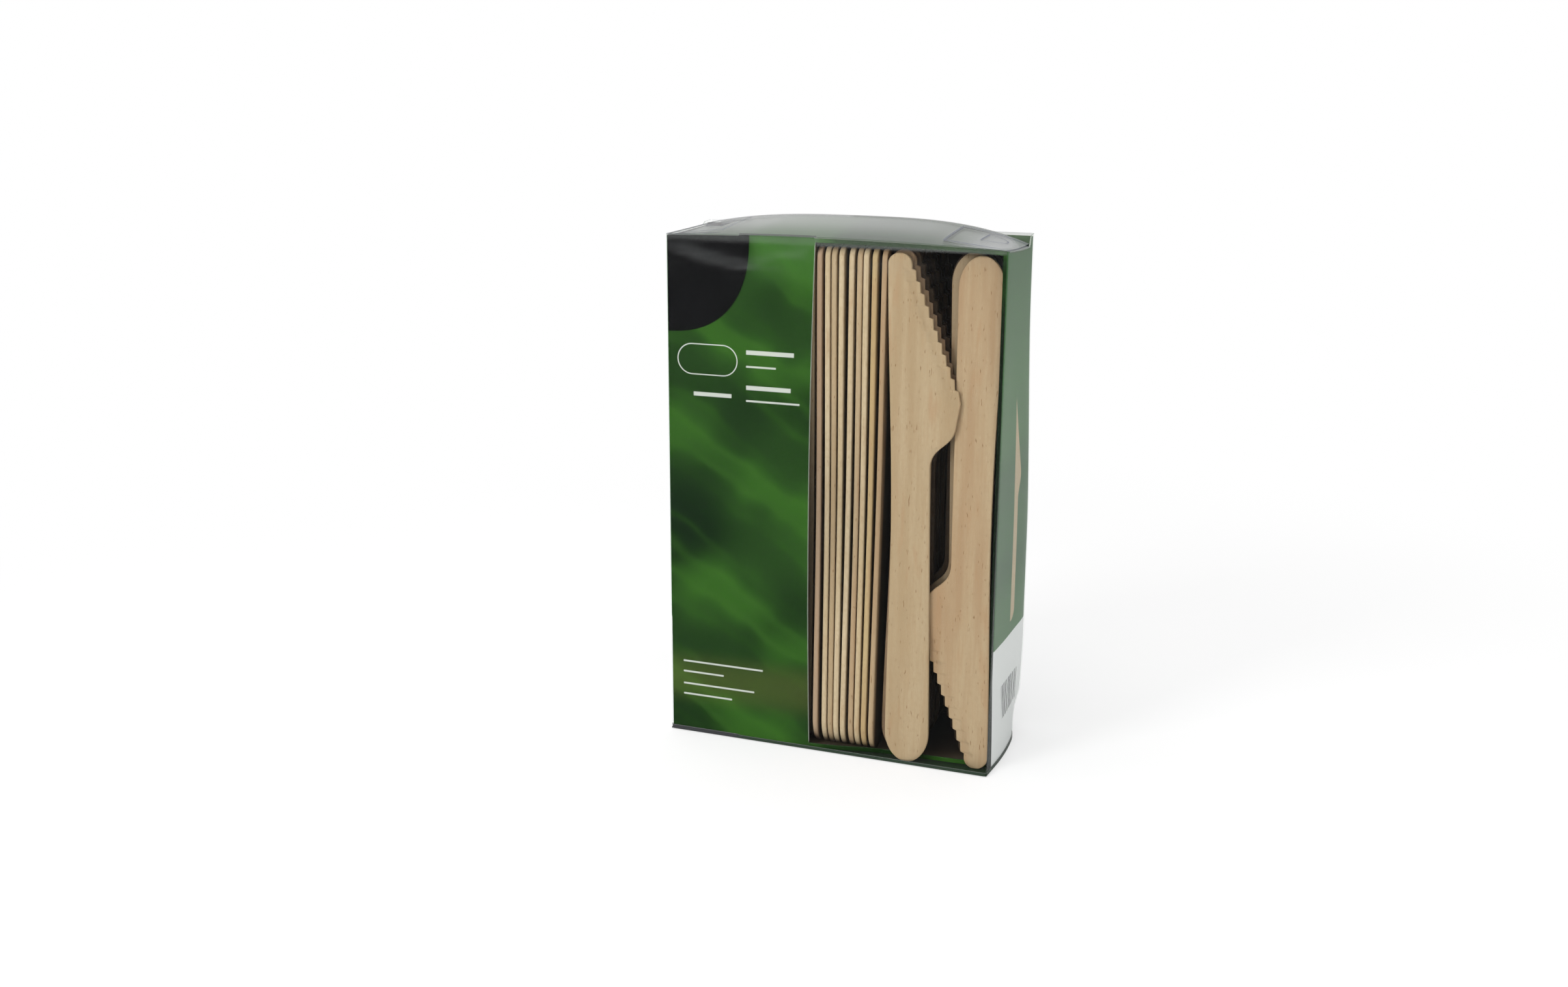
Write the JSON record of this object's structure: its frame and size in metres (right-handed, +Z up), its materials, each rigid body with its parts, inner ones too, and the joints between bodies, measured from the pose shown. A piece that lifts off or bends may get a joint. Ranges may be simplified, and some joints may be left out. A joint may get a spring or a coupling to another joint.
{
  "type": "wooden cutlery pack",
  "caption": "Clear folding carton with a tuck lid and a printed card liner, its window showing flat wooden knives packed on edge and in stacks.",
  "frame": {"origin": "centre of the bounding box's bottom, on the surface the pack stands on", "axes": "+Z up along the knives, +X to the right across the front, +Y from the front face to the back"},
  "size_m": [0.1104, 0.0475, 0.1716],
  "materials": {
    "clear_film": "clear, glossy",
    "printed_card": "glossy green print",
    "birch_pale": "raw, fine grained",
    "birch_warm": "raw, fine grained",
    "birch_dusk": "raw, fine grained"
  },
  "bodies": {
    "pack": {"clear_box": "clear_film", "knife_bundle_back_1": "birch_dusk", "knife_bundle_back_10": "birch_dusk", "knife_bundle_back_2": "birch_warm", "knife_bundle_back_3": "birch_pale", "knife_bundle_back_4": "birch_dusk", "knife_bundle_back_5": "birch_warm", "knife_bundle_back_6": "birch_pale", "knife_bundle_back_7": "birch_dusk", "knife_bundle_back_8": "birch_warm", "knife_bundle_back_9": "birch_pale", "knife_bundle_front_1": "birch_dusk", "knife_bundle_front_2": "birch_warm", "knife_bundle_front_3": "birch_pale", "knife_bundle_front_4": "birch_dusk", "knife_bundle_front_5": "birch_warm", "knife_bundle_front_6": "birch_pale", "knife_bundle_front_7": "birch_dusk", "printed_card": "printed_card", "stacked_knife_1": "birch_pale", "stacked_knife_10": "birch_pale", "stacked_knife_11": "birch_dusk", "stacked_knife_12": "birch_warm", "stacked_knife_13": "birch_pale", "stacked_knife_14": "birch_dusk", "stacked_knife_15": "birch_warm", "stacked_knife_16": "birch_pale", "stacked_knife_17": "birch_dusk", "stacked_knife_18": "birch_warm", "stacked_knife_19": "birch_pale", "stacked_knife_2": "birch_dusk", "stacked_knife_20": "birch_dusk", "stacked_knife_21": "birch_warm", "stacked_knife_22": "birch_pale", "stacked_knife_23": "birch_dusk", "stacked_knife_3": "birch_warm", "stacked_knife_4": "birch_pale", "stacked_knife_5": "birch_dusk", "stacked_knife_6": "birch_warm", "stacked_knife_7": "birch_pale", "stacked_knife_8": "birch_dusk", "stacked_knife_9": "birch_warm", "window_knife_1": "birch_dusk", "window_knife_2": "birch_warm", "window_knife_3": "birch_pale", "window_knife_4": "birch_dusk", "window_knife_5": "birch_warm", "window_knife_6": "birch_pale", "window_knife_7": "birch_dusk", "window_knife_8": "birch_warm", "window_knife_9": "birch_pale"},
    "lid": {"clear_lid": "clear_film"}
  },
  "joints": [
    {"name": "lid_hinge", "type": "hinge", "parent": "pack", "child": "lid", "pos_m": [0, -0.01803, 0.16786], "axis": [1, 0, 0], "range_deg": [0, 115]}
  ]
}
